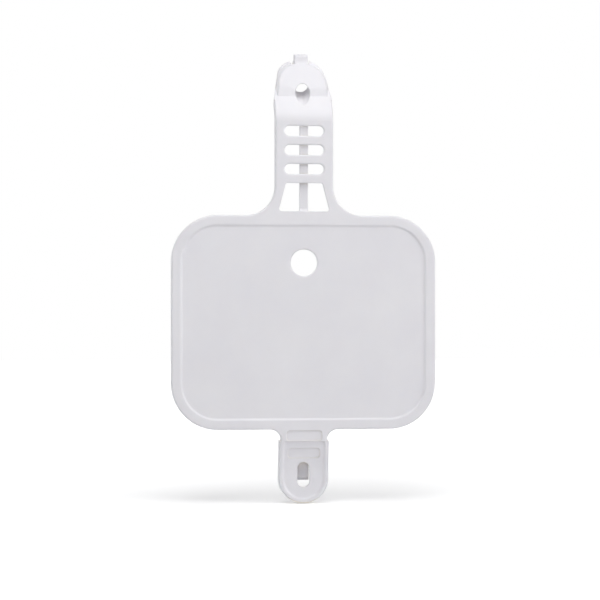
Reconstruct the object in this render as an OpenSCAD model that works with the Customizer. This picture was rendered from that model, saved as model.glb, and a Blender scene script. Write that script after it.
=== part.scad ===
// Front number board of a small motocross bike, moulded in one piece of white plastic.
// It is drawn lying on its back, with X to the right, Y up the board and Z towards the viewer,
// and is stood upright at the end. The origin is the middle of the number field's face.

/* [Plate] */
// Width of the plate
plate_w = 186; // [160:1:230]
// Height of the plate
plate_h = 150; // [130:1:190]
// Radius of the plate's corners
plate_corner_r = 32.5; // [22:1:44]
// Thickness of the moulding
wall = 2.5; // [2:0.1:3]
// Distance from the plate's edge to the step round the field
rim_w = 6.2; // [5.4:0.1:12]
// How far the field lies behind the rim
recess = 1.2; // [0.8:0.1:1.8]
// Width of the rounded step round the field
step_w = 2.2; // [1.8:0.1:3]
// Radius of the rounded outer edges
edge_r = 1.4; // [0.6:0.1:1.8]
// Thickness of the wall that turns back along the outer edge
flange_t = 2.2; // [1.9:0.1:2.8]
// How far that wall reaches behind the moulding's rear face
flange_depth = 3; // [2:0.1:5]

/* [Hole in the field] */
// Diameter of the round hole
field_hole_d = 18.6; // [10:0.1:30]
// Height of the round hole above the middle of the field
field_hole_y = 41.8; // [20:0.1:46]

/* [Ladder strap] */
// Width of the upper strap
strap_w = 41; // [39:0.1:48]
// Radius of the fillets between the strap and the plate
neck_r = 20.5; // [10:0.5:22]
// Width of each slot
slot_w = 27.6; // [18:0.1:29]
// Height of each slot
slot_h = 7; // [5:0.1:7.5]
// Distance from one slot to the next
slot_pitch = 13.35; // [12.5:0.05:16]
// Number of slots
slot_count = 3; // [1:1:5]
// Radius of the rounded edges of the openings
mouth_r = 1.1; // [0.4:0.1:1.2]
// Height of the window below the slots
window_h = 19.8; // [14:0.1:26]
// Width of the window at its top
window_top_w = 25.8; // [18:0.1:28]
// Width of the window at its foot
window_foot_w = 36; // [28:0.1:38]
// Radius of the window's corners
window_corner_r = 1.8; // [1:0.1:3]
// Height of the solid strip between the plate's edge and the window
window_gap = 2.8; // [2.6:0.1:8]
// Height of the solid strip between the window and the lowest slot
window_rung = 6.3; // [5:0.1:9]
// Width of the spine that runs behind the slots
spine_w = 5.9; // [4:0.1:8]
// How far the spine stands out behind the strap
spine_depth = 3.6; // [2:0.1:5]

/* [Upper tab] */
// Flat length of strap above the middle of the highest slot
bend_gap = 7.3; // [6:0.1:12]
// Radius of the bend on its front side
bend_r = 12; // [9:0.5:16]
// How far the strap leans back above the bend, in degrees
bend_angle = 38; // [34:1:42]
// Length of the leaning tab
tab_l = 50; // [46:0.5:56]
// Length of the leaning tab before its sides close in
tab_straight = 11.5; // [8:0.5:13]
// How far the tab's sides close in, in degrees
tab_taper = 9; // [6:0.5:10]
// Height from the bend to the raised pad
slope_h = 10.6; // [9:0.1:13]
// Height of the pad's riser
riser_h = 6.2; // [4:0.1:8]
// Lean of the riser, in degrees
riser_lean = 10; // [5:1:15]
// Length of the pad's face
face_l = 20; // [18:0.1:21]
// Lean of the pad's face, in degrees
face_lean = 23.5; // [21:0.5:26]
// Width of the pad's face at its foot
face_w = 33.4; // [31:0.1:35]
// Draft of the pad's sides, in degrees
pad_draft = 32; // [26:1:35]
// Radius of the rounding along the face's edge
face_edge_r = 2; // [1:0.1:2.4]

/* [Bolt hole] */
// Diameter of the bolt hole
bolt_d = 10.4; // [8:0.1:11.5]
// Height of the bolt hole's axis above the foot of the riser
bolt_up = 2.1; // [1:0.1:4]
// How far the bolt hole rises towards the back, in degrees
bolt_rise = 28; // [24:1:32]
// Wall round the bolt hole, behind the pad
boss_wall = 2.4; // [2:0.1:3]
// Length of the boss behind the riser
boss_l = 16; // [14:0.5:20]

/* [Catch] */
// Width of the catch on the tip
catch_w = 9.5; // [7:0.1:11]
// How far the catch stands above the pad
catch_h = 7; // [6:0.1:10]
// Depth of the catch from front to back
catch_t = 7.6; // [6:0.1:9]
// Width of the notches beside the catch, at the tip
notch_w = 3.2; // [2:0.1:4]
// Depth of the notches beside the catch
notch_l = 4.6; // [3:0.1:6]

/* [Lower tab] */
// Width of the neck under the plate
neck_w = 32.6; // [30:0.1:34]
// Radius of the fillets between the neck and the plate
foot_fillet_r = 7.8; // [6:0.1:10]
// Width of the lower tab
tail_w = 35.2; // [34:0.1:38]
// Length of the leaning part of the lower tab
tail_lean_l = 19.4; // [16:0.1:24]
// How far that part leans back, in degrees
tail_lean = 12; // [6:1:16]
// Length of the upright part of the lower tab
tail_end_l = 25; // [22:0.1:30]
// Width of the raised lip round the lower tab
lip_w = 2.2; // [1.9:0.1:3]
// How far the lip stands in front of the lower tab's face
lip_h = 1; // [0.5:0.1:1.2]
// Width of the rounded step inside the lip
lip_step_w = 2.4; // [1.8:0.1:3]
// How far the lip's wall reaches back
lip_depth = 8; // [6.5:0.1:10]
// Length of the slotted hole
tail_slot_l = 17.6; // [13:0.1:20]
// Width of the slotted hole
tail_slot_w = 8.6; // [6:0.1:10]
// Distance from the tip to the lower end of the slotted hole
tail_slot_gap = 11.6; // [9:0.1:14]
// Depth of the two recessed bars
bar_depth = 0.9; // [0.5:0.1:1.2]
// Height of each recessed bar
bar_h = 7.3; // [5:0.1:7.4]
// Width of the upper recessed bar
bar_w = 25.2; // [20:0.1:26]
// Distance from one recessed bar to the next
bar_pitch = 12.7; // [11:0.1:13]
// Radius of the recessed bars' corners
bar_corner_r = 2.4; // [1:0.1:2.4]
// Gap between the lower tab and the keeper behind it
keeper_gap = 3.6; // [3:0.1:6]
// Thickness of the keeper
keeper_t = 2.4; // [2:0.1:3]

/* [Hidden] */
$fn = 96;
tiny = 0.01;
lap = 0.4;
land = 1.2;
overrun = 0.5;
seam = 0.02;
far = 60;
corner_steps = 12;
round_steps = 6;

// Levels of the plate along Z
front_z = recess;
rear_z = front_z - wall;
flange_z = rear_z - flange_depth;

// Heights up the strap
plate_hw = plate_w / 2;
plate_hh = plate_h / 2;
strap_hw = strap_w / 2;
window_y0 = plate_hh + window_gap;
window_y1 = window_y0 + window_h;
slot_y0 = window_y1 + window_rung + slot_h / 2;
bend_y = slot_y0 + (slot_count - 1) * slot_pitch + bend_gap;
slope_y = bend_y + bend_r * sin(bend_angle);
slope_z = front_z - bend_r * (1 - cos(bend_angle));

// Heights and levels on the leaning tab
function strap_z(y) = slope_z - (y - slope_y) * tan(bend_angle);
strap_rear = wall / cos(bend_angle);
riser_y = slope_y + slope_h;
riser_z = strap_z(riser_y);
function riser_front(y) = riser_z - (y - riser_y) * tan(riser_lean);
face_y = riser_y + riser_h;
face_z = riser_front(face_y);
tab_tip_y = slope_y + tab_l * cos(bend_angle);
pad_depth = 16;
pad_foot = 12;
pad_top_y = face_y + face_l * cos(face_lean);
pad_top_z = face_z - face_l * sin(face_lean);

// Axis of the bolt hole
bolt_y = riser_y + bolt_up;
boss_r = bolt_d / 2 + boss_wall;

// Heights and levels down the lower tab
neck_hw = neck_w / 2;
neck_y = -plate_hh - foot_fillet_r - lap;
lean_y = neck_y - tail_lean_l * cos(tail_lean);
lean_z = front_z - tail_lean_l * sin(tail_lean);
tail_hw = tail_w / 2;
tail_tip_y = lean_y - tail_end_l;
tail_slot_y0 = tail_tip_y + tail_slot_gap;
tail_slot_y1 = tail_slot_y0 + tail_slot_l;
bar_y = -plate_hh - bar_h / 2 - land / 2;

// Paths, each a list of [x, y, corner radius], with the material on the left
function opposite(p) = [for (i = [len(p) - 1 : -1 : 0]) [-p[i].x, p[i].y, p[i].z]];
left_edge = [
    [-strap_hw, bend_y, 0],
    [-strap_hw, plate_hh, neck_r],
    [-plate_hw, plate_hh, plate_corner_r],
    [-plate_hw, -plate_hh, plate_corner_r],
    [-neck_hw, -plate_hh, foot_fillet_r],
    [-neck_hw, neck_y, 0]
];
plate_edge = [
    [-plate_hw, -plate_hh, plate_corner_r], [plate_hw, -plate_hh, plate_corner_r],
    [plate_hw, plate_hh, plate_corner_r], [-plate_hw, plate_hh, plate_corner_r]
];
field_r = plate_corner_r - rim_w;
field_edge = [for (p = plate_edge) [p.x - sign(p.x) * rim_w, p.y - sign(p.y) * rim_w, field_r]];
window_edge = [
    [-window_foot_w / 2, window_y0, window_corner_r], [-window_top_w / 2, window_y1, window_corner_r],
    [window_top_w / 2, window_y1, window_corner_r], [window_foot_w / 2, window_y0, window_corner_r]
];
tab_tip_hw = strap_hw - (tab_l - tab_straight) * tan(tab_taper);
tab_tip_r = tab_tip_hw / tan((90 - tab_taper) / 2);
tab_edge = [
    [strap_hw, 0, 0], [strap_hw, tab_straight, strap_hw],
    [tab_tip_hw, tab_l, tab_tip_r], [-tab_tip_hw, tab_l, tab_tip_r],
    [-strap_hw, tab_straight, strap_hw], [-strap_hw, 0, 0]
];
rounded_l = tab_straight - trim(tab_edge[0], tab_edge[1], tab_edge[2]);

// Geometry of a path's corner at point b, between a and c
function heading(a, b) = atan2(b.y - a.y, b.x - a.x);
function wrap(t) = t > 180 ? t - 360 : t <= -180 ? t + 360 : t;
function turn(a, b, c) = wrap(heading(b, c) - heading(a, b));
function trim(a, b, c) = b.z * tan(abs(turn(a, b, c)) / 2);
function ahead(p, angle, d) = [p.x + d * cos(angle), p.y + d * sin(angle)];
function corner_centre(a, b, c) =
    ahead(ahead(b, heading(a, b), -trim(a, b, c)),
        heading(a, b) + 90 * sign(turn(a, b, c)), b.z);

// Points of one corner, moved in to the left by d
function corner_points(a, b, c, d) =
    let (t = turn(a, b, c), centre = corner_centre(a, b, c))
    [for (k = [0 : corner_steps])
        ahead(centre, heading(a, b) - 90 * sign(t) + t * k / corner_steps, b.z - sign(t) * d)];

// Points of a closed path and of an open one, moved in to the left by d
function inset_closed(p, d) = let (n = len(p))
    [for (i = [0 : n - 1]) each corner_points(p[(i + n - 1) % n], p[i], p[(i + 1) % n], d)];
function inset_open(p, d) = let (n = len(p)) [
    ahead(p[0], heading(p[0], p[1]) + 90, d),
    for (i = [1 : 1 : n - 2]) each corner_points(p[i - 1], p[i], p[i + 1], d),
    ahead(p[n - 1], heading(p[n - 2], p[n - 1]) + 90, d)
];

// Short steps along an arc
function arc(x, y, r, from, to, first = 0) = [
    for (k = [first : round_steps])
        let (t = from + (to - from) * k / round_steps) [x + r * cos(t), y + r * sin(t)]
];

// A rounded step down from [x, z], as two equal arcs
function rounded_step(x, z, w, h) =
    let (t = 2 * atan(h / w), r = w / (2 * sin(t)))
    concat(arc(x, z - r, r, 90, 90 - t), arc(x + w, z - h + r, r, 270 - t, 270, 1));

// Sections, with x as the distance in from the path and y as the level
edge_section = concat(
    [[0, flange_z]],
    arc(edge_r, front_z - edge_r, edge_r, 180, 90),
    [[flange_t + land, front_z], [flange_t + land, rear_z], [flange_t, rear_z], [flange_t, flange_z]]
);
step_front = concat(
    [[-lap, front_z]],
    rounded_step(0, front_z, step_w, recess),
    [[step_w + lap, 0]]
);
step_section = concat(
    step_front,
    [for (i = [len(step_front) - 1 : -1 : 0]) [step_front[i].x, step_front[i].y - wall]]
);
function mouth_section(top, bottom) = concat(
    [[0, bottom]],
    arc(mouth_r, top - mouth_r, mouth_r, 180, 90),
    [[mouth_r + lap, top], [mouth_r + lap, bottom]]
);
lip_line = concat(
    arc(edge_r, -edge_r, edge_r, 180, 90),
    rounded_step(lip_w, 0, lip_step_w, lip_h)
);
lip_half = concat(
    [[tail_hw - flange_t, -lip_h - wall], [tail_hw - flange_t, -lip_depth], [tail_hw, -lip_depth]],
    [for (p = lip_line) [tail_hw - p.x, p.y]]
);

// A half section and its mirror image as one outline
function both_sides(half) = concat(half, [for (i = [len(half) - 1 : -1 : 0]) [-half[i].x, half[i].y]]);

// Half section of the strap with its turned edge, moved in by d all round
function strap_half(d) = concat(
    [for (p = arc(edge_r, front_z - edge_r, edge_r - d, 90, 180)) [strap_hw - p.x, p.y]],
    [[strap_hw - d, flange_z + d], [strap_hw - flange_t + d, flange_z + d],
        [strap_hw - flange_t + d, rear_z + d]]
);

// Half section of the pad's solid form, moved in by d, with x as the distance from its middle
function pad_section(d) = let (
    r = max(face_edge_r - d, lap),
    half = face_w / 2 - d / cos(pad_draft),
    top_x = half + (d + r) * tan(pad_draft) - r / cos(pad_draft)
) concat(
    [[half + pad_depth * tan(pad_draft), -pad_depth]],
    arc(top_x, -d - r, r, pad_draft, 90)
);

// One straight stretch of an edge
module edge_run(a, b, cut_a, cut_b, section) {
    length = norm([b.x - a.x, b.y - a.y]) - cut_a - cut_b;
    if (length > tiny)
        translate(ahead(a, heading(a, b), cut_a))
            rotate(heading(a, b))
                rotate([90, 0, 90])
                    linear_extrude(length) polygon(section);
}

// One round corner of an edge
module edge_corner(a, b, c, section) {
    t = turn(a, b, c);
    translate(corner_centre(a, b, c))
        rotate(t > 0 ? heading(a, b) - 90 : heading(b, c) + 90)
            rotate_extrude(angle = abs(t))
                polygon([for (p = section) [b.z - sign(t) * p.x, p.y]]);
}

// A section carried along an open path
module sweep_open(p, section) {
    n = len(p);
    for (i = [0 : n - 2])
        edge_run(p[i], p[i + 1],
            i > 0 ? trim(p[i - 1], p[i], p[i + 1]) : 0,
            i < n - 2 ? trim(p[i], p[i + 1], p[i + 2]) : 0, section);
    for (i = [1 : 1 : n - 2])
        edge_corner(p[i - 1], p[i], p[i + 1], section);
}

// A section carried round a closed path
module sweep_closed(p, section) {
    n = len(p);
    for (i = [0 : n - 1]) {
        a = p[(i + n - 1) % n];
        b = p[i];
        c = p[(i + 1) % n];
        d = p[(i + 2) % n];
        edge_run(b, c, trim(a, b, c), trim(b, c, d), section);
        edge_corner(a, b, c, section);
    }
}

// A flat piece between two levels
module slab(z0, z1) {
    translate([0, 0, z0]) linear_extrude(z1 - z0) children();
}

// A side view, drawn as [height, level], given a width across the board
module across(w, points) {
    translate([-w / 2, 0, 0]) rotate([90, 0, 90]) linear_extrude(w) polygon(points);
}

// A slot's outline with full round ends
module stadium(w, h) {
    for (x = [-1, 1]) translate([x * (w - h) / 2, 0]) circle(h / 2);
    square([w - h, h], center = true);
}

// Local frames of the leaning tab, of the pad's face and of the lower tab's leaning part
module on_tab() {
    translate([0, slope_y, slope_z]) rotate([-bend_angle, 0, 0]) children();
}
module on_face() {
    translate([0, face_y, face_z]) rotate([-face_lean, 0, 0]) children();
}
module on_lean() {
    translate([0, neck_y, front_z]) rotate([tail_lean, 0, 0]) children();
}

// The plate, its rim and the flat part of the strap, before any hole is cut
module plate() {
    sweep_open(left_edge, edge_section);
    sweep_open(opposite(left_edge), edge_section);
    sweep_closed(field_edge, step_section);
    in = flange_t + land / 2;
    slab(rear_z, front_z) difference() {
        polygon(concat(inset_open(left_edge, in), inset_open(opposite(left_edge), in)));
        polygon(inset_closed(field_edge, -lap / 2));
    }
    slab(-wall, 0) polygon(inset_closed(field_edge, step_w + lap / 2));
}

// Cuts for the slots, the window and the round hole, each wider by its rounded mouth
module openings() {
    out = mouth_r + lap / 2;
    for (i = [0 : slot_count - 1])
        translate([0, slot_y0 + i * slot_pitch])
            slab(-far, far) stadium(slot_w + 2 * out, slot_h + 2 * out);
    slab(-far, far) polygon(inset_closed(window_edge, 0));
    translate([0, field_hole_y]) slab(-far, far) circle(field_hole_d / 2 + out);
}

// The rounded mouths that line those cuts
module mouths() {
    section = mouth_section(front_z, rear_z);
    reach = (slot_w - slot_h) / 2;
    for (i = [0 : slot_count - 1])
        translate([0, slot_y0 + i * slot_pitch]) {
            for (s = [0, 180])
                rotate(s) {
                    edge_run([reach, -slot_h / 2], [-reach, -slot_h / 2], 0, 0, section);
                    translate([-reach, 0]) rotate(90) rotate_extrude(angle = 180)
                        polygon([for (p = section) [slot_h / 2 + p.x, p.y]]);
                }
        }
    translate([0, field_hole_y])
        rotate_extrude()
            polygon([for (p = mouth_section(0, -wall)) [field_hole_d / 2 + p.x, p.y]]);
}

// The spine behind the slots, with a curved foot in the window
module spine() {
    back = rear_z - spine_depth;
    across(spine_w, concat(
        [[bend_y - land, rear_z + tiny], [bend_y - land - spine_depth, back],
            [window_y0 - spine_depth, back], [window_y0 - spine_depth, rear_z + tiny],
            [window_y0 - tiny, rear_z + tiny], [window_y0 - tiny, front_z - mouth_r]],
        arc(window_y0 + wall, front_z - mouth_r, wall, 180, 270)
    ));
}

// The bend and the leaning tab above it
module leaning_tab() {
    translate([0, bend_y, front_z - bend_r])
        rotate([overrun, 0, 0])
            rotate([0, -90, 0])
                rotate_extrude(angle = bend_angle + 2 * overrun)
                    polygon([for (p = both_sides(strap_half(seam))) [bend_r + p.y - front_z, p.x]]);
    on_tab() {
        rotate([90, 0, 0]) mirror([0, 0, 1]) linear_extrude(rounded_l)
            translate([0, -front_z]) polygon(both_sides(strap_half(0)));
        intersection() {
            union() {
                slab(-wall, 0) polygon(inset_open(tab_edge, 0));
                slab(-wall - flange_depth, -wall) difference() {
                    polygon(inset_open(tab_edge, 0));
                    polygon(inset_open(tab_edge, flange_t));
                }
            }
            translate([-far / 2, rounded_l, -far / 2]) cube(far);
        }
    }
}

// Everything inside the leaning tab's outline, moved in by d
module tab_block(d) {
    on_tab() slab(-pad_depth, pad_depth) polygon(inset_open(tab_edge, d));
}

// Solid form of the raised pad, moved in by d and kept between the riser and a rear plane
module pad_form(d, behind) {
    back = d / cos(riser_lean);
    low = riser_y - (behind - back) / (tan(bend_angle) - tan(riser_lean));
    high = tab_tip_y;
    half = pad_section(d);
    intersection() {
        on_face() translate([0, face_l - face_w / 2, 0]) {
            rotate_extrude(angle = 180)
                polygon(concat([[0, -pad_depth]], half, [[0, -d]]));
            rotate([90, 0, 0])
                linear_extrude(face_l + pad_foot)
                    polygon(both_sides(half));
        }
        across(far, [
            [low, riser_front(low) - back], [high, riser_front(high) - back],
            [high, strap_z(high) - behind]
        ]);
        tab_block(d > 0 ? flange_t : lap);
    }
}

// The boss round the bolt hole, kept behind the front faces
module boss() {
    low = slope_y - land;
    intersection() {
        on_bolt() translate([0, 0, -boss_l]) cylinder(r = boss_r, h = far);
        across(far, [
            [low, strap_z(low) - strap_rear / 2], [riser_y, riser_z - strap_rear / 2],
            [face_y, face_z - wall / 2], [pad_top_y, pad_top_z - wall / 2],
            [pad_top_y, -far], [low, -far]
        ]);
    }
}

// The axis of the bolt hole, pointing out of the front
module on_bolt() {
    translate([0, bolt_y, riser_z]) rotate([bolt_rise, 0, 0]) children();
}

// The catch on the tip
module catch() {
    foot = pad_top_y - wall;
    top = pad_top_y + catch_h;
    front = pad_top_z - lap;
    across(catch_w, [
        [foot, front], [pad_top_y + catch_h / 3, front - catch_h / 6],
        [pad_top_y + catch_h * 0.7, front - catch_h / 6], [top, front - catch_t / 2],
        [top, front - catch_t], [foot, front - catch_t - wall]
    ]);
}

// The notches on both sides of the catch, narrower at the bottom
module notches() {
    for (side = [-1, 1])
        slab(-far, pad_top_z - wall)
            polygon([
                [side * catch_w / 2, tab_tip_y - notch_l],
                [side * (catch_w / 2 + notch_w / 4), tab_tip_y - notch_l],
                [side * (catch_w / 2 + notch_w), tab_tip_y + land],
                [side * catch_w / 2, tab_tip_y + land]
            ]);
}

// The lower tab: a leaning part and an upright end, joined on a mitre
module tail() {
    u = [-sin(tail_lean / 2), cos(tail_lean / 2)];
    a = [neck_y, front_z];
    b = [lean_y, lean_z];
    down = [-far, 0];
    straight = tail_end_l - tail_hw;
    intersection() {
        on_lean() tail_run(tail_lean_l + land);
        across(far, [a + land * u, a - far * u, b - far * u, b + land * u]);
    }
    intersection() {
        translate([0, lean_y, lean_z]) {
            tail_run(straight);
            translate([0, -straight, 0]) rotate(180) rotate_extrude(angle = 180)
                polygon(concat([[0, -lip_h - wall]], lip_half, [[0, -lip_h]]));
        }
        across(far, [b + land * u, b - far * u, b - far * u + down, b + land * u + down]);
    }
}

// A straight stretch of the lower tab down to the given distance
module tail_run(down) {
    rotate([90, 0, 0]) translate([0, 0, -land]) linear_extrude(down + land)
        polygon(both_sides(lip_half));
}

// A shallow bar pressed into the surface at level zero
module bar(w) {
    slab(-bar_depth, land) {
        for (x = [-1, 1], y = [-1, 1])
            translate([x * (w / 2 - bar_corner_r), y * (bar_h / 2 - bar_corner_r)])
                circle(bar_corner_r);
        square([w, bar_h - 2 * bar_corner_r], center = true);
        square([w - 2 * bar_corner_r, bar_h], center = true);
    }
}

// The slotted hole and the two recessed bars
module tail_cuts() {
    translate([0, (tail_slot_y0 + tail_slot_y1) / 2])
        rotate(90) slab(-far, far) stadium(tail_slot_l, tail_slot_w);
    translate([0, bar_y, front_z]) bar(bar_w);
    on_lean() translate([0, (bar_y - bar_pitch - neck_y) / cos(tail_lean), -lip_h])
        bar(bar_w - bar_corner_r);
}

// The keeper behind the slotted hole, with a bevel under its free end
module keeper() {
    root = tail_slot_y1 + keeper_t;
    base = lean_z - lip_h - wall / 2;
    face = lean_z - lip_h - wall - keeper_gap;
    end = tail_slot_y0 + tail_slot_w / 2;
    across(tail_slot_w, [
        [root, base], [root, face - keeper_t / 2], [root - keeper_t / 2, face - keeper_t],
        [end, face - keeper_t], [end, face - keeper_t / 2], [end + keeper_t * 0.8, face],
        [tail_slot_y1 + lap, face], [tail_slot_y1 + lap, base]
    ]);
}

// The whole moulding, stood upright
module number_board() {
    color([0.95, 0.95, 0.96])
        rotate([90, 0, 0])
            difference() {
                union() {
                    difference() {
                        plate();
                        openings();
                    }
                    mouths();
                    spine();
                    difference() {
                        union() {
                            leaning_tab();
                            pad_form(0, strap_rear / 2);
                        }
                        pad_form(wall, strap_rear + lap);
                        notches();
                    }
                    boss();
                    catch();
                    difference() {
                        tail();
                        tail_cuts();
                    }
                    keeper();
                }
                on_bolt() translate([0, 0, -boss_l - land]) cylinder(d = bolt_d, h = far + boss_l);
                translate([0, bar_y, front_z]) bar(bar_w);
            }
}

number_board();
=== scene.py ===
import math

import bpy
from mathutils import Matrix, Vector


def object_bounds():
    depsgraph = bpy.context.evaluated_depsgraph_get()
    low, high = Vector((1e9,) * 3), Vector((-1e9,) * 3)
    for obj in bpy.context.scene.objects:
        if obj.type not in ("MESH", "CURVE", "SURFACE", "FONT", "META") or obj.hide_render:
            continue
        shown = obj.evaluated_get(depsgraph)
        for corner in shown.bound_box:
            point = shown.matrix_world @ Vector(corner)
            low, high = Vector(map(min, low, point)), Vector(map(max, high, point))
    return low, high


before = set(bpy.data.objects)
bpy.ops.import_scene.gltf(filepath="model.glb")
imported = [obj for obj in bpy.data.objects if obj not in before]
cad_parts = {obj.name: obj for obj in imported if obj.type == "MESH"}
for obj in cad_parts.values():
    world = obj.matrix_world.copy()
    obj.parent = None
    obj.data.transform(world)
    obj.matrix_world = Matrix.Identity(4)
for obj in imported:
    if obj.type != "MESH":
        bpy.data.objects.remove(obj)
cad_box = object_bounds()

# A white moulded number board for a small motocross bike, in soft studio light

scene = bpy.context.scene
scene.view_settings.view_transform = "Standard"

MM = 0.001
WHITE = (1, 1, 1, 1)
BOARD = "number_board"

PIXEL = 0.7 * MM              # width of a pixel at the plate, in a frame of 600
FRAME = 600 * PIXEL
DISTANCE = 1.25               # from the camera to its target
AZIMUTH = math.radians(6.0)   # the camera stands a little to the left
TARGET = Vector((-2.9 * MM, 0.0, 15.7 * MM))
SENSOR = 36.0

SHARP = math.radians(20.0)    # the mesh turns up to 17 degrees from facet to facet on its curves
SEAM = 0.0005 * MM            # points this close on neighbouring CAD faces are one
FLOOR_GAP = 0.2 * MM
FLOOR_HALF = 3.0
AROUND = 0.09                 # strength of the light from all sides

# name, place, aim, width, height, watts
LAMPS = [
    ("top", (0.05, -0.30, 1.25), (0.0, 0.0, 0.02), 0.9, 0.9, 6.6),
    ("high", (-0.10, -0.50, 0.60), (0.0, 0.0, 0.06), 0.5, 0.3, 1.35),
    ("front", (-0.20, -1.35, 0.65), (0.0, 0.0, 0.0), 0.8, 0.8, 1.9),
    ("right", (1.00, -0.50, 0.35), (0.0, 0.0, 0.0), 0.4, 0.8, 4.3),
    ("left", (-0.70, -0.55, 0.30), (-0.05, 0.0, 0.0), 0.4, 0.8, 0.7),
    ("edge", (-0.90, 0.50, 0.35), (0.0, 0.0, 0.0), 0.4, 0.8, 2.0),
    ("back", (0.25, 1.30, 0.80), (0.0, 0.0, 0.0), 1.0, 0.8, 1.5),
]


# Materials

def shader_tree(name):
    """A new material with an empty tree and its output."""
    material = bpy.data.materials.new(name)
    material.use_nodes = True
    tree = material.node_tree
    tree.nodes.clear()
    return material, tree, tree.nodes.new("ShaderNodeOutputMaterial")


def object_coords(tree):
    return tree.nodes.new("ShaderNodeTexCoord").outputs["Object"]


def noise(tree, coords, scale, detail=2.0, roughness=0.5):
    node = tree.nodes.new("ShaderNodeTexNoise")
    node.inputs["Scale"].default_value = scale
    node.inputs["Detail"].default_value = detail
    node.inputs["Roughness"].default_value = roughness
    tree.links.new(coords, node.inputs["Vector"])
    return node.outputs["Fac"]


def carry(tree, value, old, new):
    """Carries a value from the range old to the range new."""
    node = tree.nodes.new("ShaderNodeMapRange")
    node.inputs["From Min"].default_value, node.inputs["From Max"].default_value = old
    node.inputs["To Min"].default_value, node.inputs["To Max"].default_value = new
    tree.links.new(value, node.inputs["Value"])
    return node.outputs["Result"]


def ramp(tree, value, stops):
    """Colours along a value of 0 to 1, from pairs of place and colour in rising order."""
    node = tree.nodes.new("ShaderNodeValToRGB")
    elements = node.color_ramp.elements
    for place, colour in stops[1:-1]:
        elements.new(place)
    for element, (place, colour) in zip(elements, stops):
        element.position = place
        element.color = (*colour, 1)
    tree.links.new(value, node.inputs["Fac"])
    return node.outputs["Color"]


def blend(tree, factor, first, second):
    """Mixes a colour from a socket with a plain one."""
    node = tree.nodes.new("ShaderNodeMixRGB")
    tree.links.new(factor, node.inputs["Fac"])
    tree.links.new(first, node.inputs["Color1"])
    node.inputs["Color2"].default_value = second
    return node.outputs["Color"]


def add_bump(tree, height, strength, distance, normal):
    node = tree.nodes.new("ShaderNodeBump")
    node.inputs["Strength"].default_value = strength
    node.inputs["Distance"].default_value = distance
    tree.links.new(height, node.inputs["Height"])
    tree.links.new(normal, node.inputs["Normal"])
    return node.outputs["Normal"]


def white_plastic():
    """Satin white polypropylene: fine mould grain, faint flow clouds, painted shade as a warmer tone in deep
    recesses, and a little light inside it."""
    material, tree, output = shader_tree("white_plastic")
    coords = object_coords(tree)
    shader = tree.nodes.new("ShaderNodeBsdfPrincipled")

    clouds = ramp(tree, noise(tree, coords, 28.0, 3.0, 0.55),
                  [(0.30, (0.800, 0.790, 0.828)), (0.72, (0.832, 0.824, 0.852))])
    # Painted shade: ambient occlusion tints the deep recesses a warmer tone, standing in for the warm shade
    # that falls there
    recess = tree.nodes.new("ShaderNodeAmbientOcclusion")
    recess.samples = 8
    recess.inputs["Distance"].default_value = 8.0 * MM
    painted_recess_shade = ramp(tree, recess.outputs["AO"], [(0.20, (1, 1, 1)), (0.68, (0, 0, 0))])
    colour = blend(tree, painted_recess_shade, clouds, (0.90, 0.845, 0.75, 1))
    tree.links.new(colour, shader.inputs["Base Color"])

    flow = noise(tree, coords, 90.0)
    tree.links.new(carry(tree, flow, (0, 1), (0.36, 0.48)), shader.inputs["Roughness"])

    edges = tree.nodes.new("ShaderNodeBevel")
    edges.samples = 8
    edges.inputs["Radius"].default_value = 0.8 * MM
    normal = add_bump(tree, noise(tree, coords, 60.0, 1.0, 0.4), 0.10, 0.5 * MM, edges.outputs["Normal"])
    normal = add_bump(tree, noise(tree, coords, 2600.0, 2.0, 0.6), 0.12, 0.05 * MM, normal)
    tree.links.new(normal, shader.inputs["Normal"])

    shader.inputs["IOR"].default_value = 1.49
    shader.inputs["Subsurface Weight"].default_value = 0.12
    shader.inputs["Subsurface Radius"].default_value = (1.0, 0.9, 0.8)
    shader.inputs["Subsurface Scale"].default_value = 2.0 * MM
    tree.links.new(shader.outputs["BSDF"], output.inputs["Surface"])
    return material


def seen_directly(tree):
    """1 for rays from the camera, a mirror or glass, and 0 for those that only carry light."""
    path = tree.nodes.new("ShaderNodeLightPath")
    total = path.outputs["Is Camera Ray"]
    for name in ("Is Glossy Ray", "Is Transmission Ray"):
        add = tree.nodes.new("ShaderNodeMath")
        add.operation = "MAXIMUM"
        tree.links.new(total, add.inputs[0])
        tree.links.new(path.outputs[name], add.inputs[1])
        total = add.outputs[0]
    return total


def mix_by_ray(tree, unseen, seen):
    """One shader for what the camera sees and another for what only carries light."""
    mix = tree.nodes.new("ShaderNodeMixShader")
    tree.links.new(seen_directly(tree), mix.inputs["Fac"])
    tree.links.new(unseen, mix.inputs[1])
    tree.links.new(seen, mix.inputs[2])
    return mix.outputs[0]


def floor_material():
    """A white floor that keeps the board's shadow and glows to plain white further away."""
    material, tree, output = shader_tree("pale_floor")
    coords = object_coords(tree)
    matt = tree.nodes.new("ShaderNodeBsdfDiffuse")
    tint = ramp(tree, noise(tree, coords, 6.0), [(0.0, (0.93, 0.93, 0.94)), (1.0, (0.96, 0.96, 0.96))])
    tree.links.new(tint, matt.inputs["Color"])
    away = tree.nodes.new("ShaderNodeVectorMath")
    away.operation = "LENGTH"
    tree.links.new(coords, away.inputs[0])
    glow = tree.nodes.new("ShaderNodeEmission")
    tree.links.new(carry(tree, away.outputs["Value"], (0.15, 0.7), (0.34, 1.0)), glow.inputs["Strength"])
    add = tree.nodes.new("ShaderNodeAddShader")
    tree.links.new(matt.outputs[0], add.inputs[0])
    tree.links.new(glow.outputs[0], add.inputs[1])
    tree.links.new(mix_by_ray(tree, matt.outputs[0], add.outputs[0]), output.inputs["Surface"])
    return material


# The board: the CAD solid with smooth normals and its finish

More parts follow.
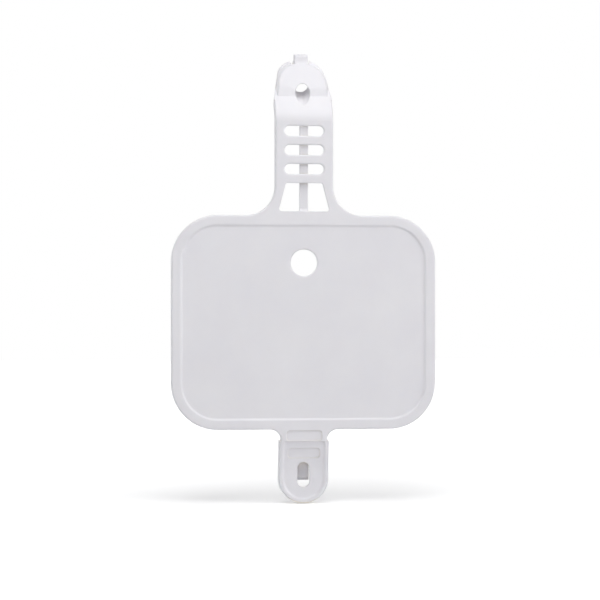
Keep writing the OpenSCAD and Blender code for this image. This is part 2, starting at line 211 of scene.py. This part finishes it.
def smooth_by_angle(limit):
    """Geometry nodes that shade a mesh smooth, save along edges that turn more than the limit."""
    group = bpy.data.node_groups.new("smooth_by_angle", "GeometryNodeTree")
    group.interface.new_socket("Geometry", in_out="INPUT", socket_type="NodeSocketGeometry")
    group.interface.new_socket("Geometry", in_out="OUTPUT", socket_type="NodeSocketGeometry")
    source = group.nodes.new("NodeGroupInput")
    result = group.nodes.new("NodeGroupOutput")
    plain = group.nodes.new("GeometryNodeRemoveAttribute")
    plain.inputs["Name"].default_value = "custom_normal"
    faces = group.nodes.new("GeometryNodeSetShadeSmooth")
    faces.domain = "FACE"
    edges = group.nodes.new("GeometryNodeSetShadeSmooth")
    edges.domain = "EDGE"
    edges.inputs["Shade Smooth"].default_value = False
    angle = group.nodes.new("GeometryNodeInputMeshEdgeAngle")
    sharp = group.nodes.new("FunctionNodeCompare")
    sharp.operation = "GREATER_THAN"
    sharp.inputs["B"].default_value = limit
    group.links.new(angle.outputs["Unsigned Angle"], sharp.inputs["A"])
    group.links.new(sharp.outputs["Result"], edges.inputs["Selection"])
    group.links.new(source.outputs["Geometry"], plain.inputs["Geometry"])
    group.links.new(plain.outputs["Geometry"], faces.inputs["Geometry"])
    group.links.new(faces.outputs["Geometry"], edges.inputs["Geometry"])
    group.links.new(edges.outputs["Geometry"], result.inputs["Geometry"])
    return group


def finish_board(board):
    """Joins the faces of the CAD mesh, smooths its curves and gives it the plastic."""
    board.data.materials.clear()
    board.data.materials.append(white_plastic())
    weld = board.modifiers.new("weld", "WELD")
    weld.merge_threshold = SEAM
    board.modifiers.new("smooth", "NODES").node_group = smooth_by_angle(SHARP)
    weighted = board.modifiers.new("weighted", "WEIGHTED_NORMAL")
    weighted.keep_sharp = True
    weighted.weight = 100


finish_board(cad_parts[BOARD])


# Floor

def build_floor(level):
    mesh = bpy.data.meshes.new("floor")
    corners = [(x * FLOOR_HALF, y * FLOOR_HALF, level) for x, y in ((-1, -1), (1, -1), (1, 1), (-1, 1))]
    mesh.from_pydata(corners, [], [(0, 1, 2, 3)])
    mesh.update()
    floor = bpy.data.objects.new("floor", mesh)
    scene.collection.objects.link(floor)
    floor.data.materials.append(floor_material())


build_floor(cad_box[0][2] - FLOOR_GAP)


# Light

def aim_at(item, target):
    """Turns a lamp or the camera towards a point."""
    item.rotation_euler = (Vector(target) - item.location).to_track_quat("-Z", "Y").to_euler()


def area_light(name, place, target, width, height, power):
    light = bpy.data.lights.new(name, "AREA")
    light.shape = "RECTANGLE"
    light.size = width
    light.size_y = height
    light.energy = power
    lamp = bpy.data.objects.new(name, light)
    scene.collection.objects.link(lamp)
    lamp.location = place
    aim_at(lamp, target)


def background(tree, colour, strength):
    node = tree.nodes.new("ShaderNodeBackground")
    node.inputs["Color"].default_value = colour
    node.inputs["Strength"].default_value = strength
    return node.outputs[0]


def build_world():
    """Faint light from all sides, and plain white wherever the world itself is seen."""
    world = bpy.data.worlds.new("studio")
    scene.world = world
    world.use_nodes = True
    tree = world.node_tree
    tree.nodes.clear()
    surface = mix_by_ray(tree, background(tree, (0.98, 0.985, 1.0, 1), AROUND), background(tree, WHITE, 1.0))
    tree.links.new(surface, tree.nodes.new("ShaderNodeOutputWorld").inputs["Surface"])


for lamp in LAMPS:
    area_light(*lamp)
build_world()


# Camera

def build_camera():
    lens = bpy.data.cameras.new("camera")
    lens.sensor_width = SENSOR
    lens.lens = SENSOR * DISTANCE / FRAME
    lens.clip_start = 0.01
    camera = bpy.data.objects.new("camera", lens)
    scene.collection.objects.link(camera)
    camera.location = TARGET + DISTANCE * Vector((-math.sin(AZIMUTH), -math.cos(AZIMUTH), 0.0))
    aim_at(camera, TARGET)
    scene.camera = camera


build_camera()
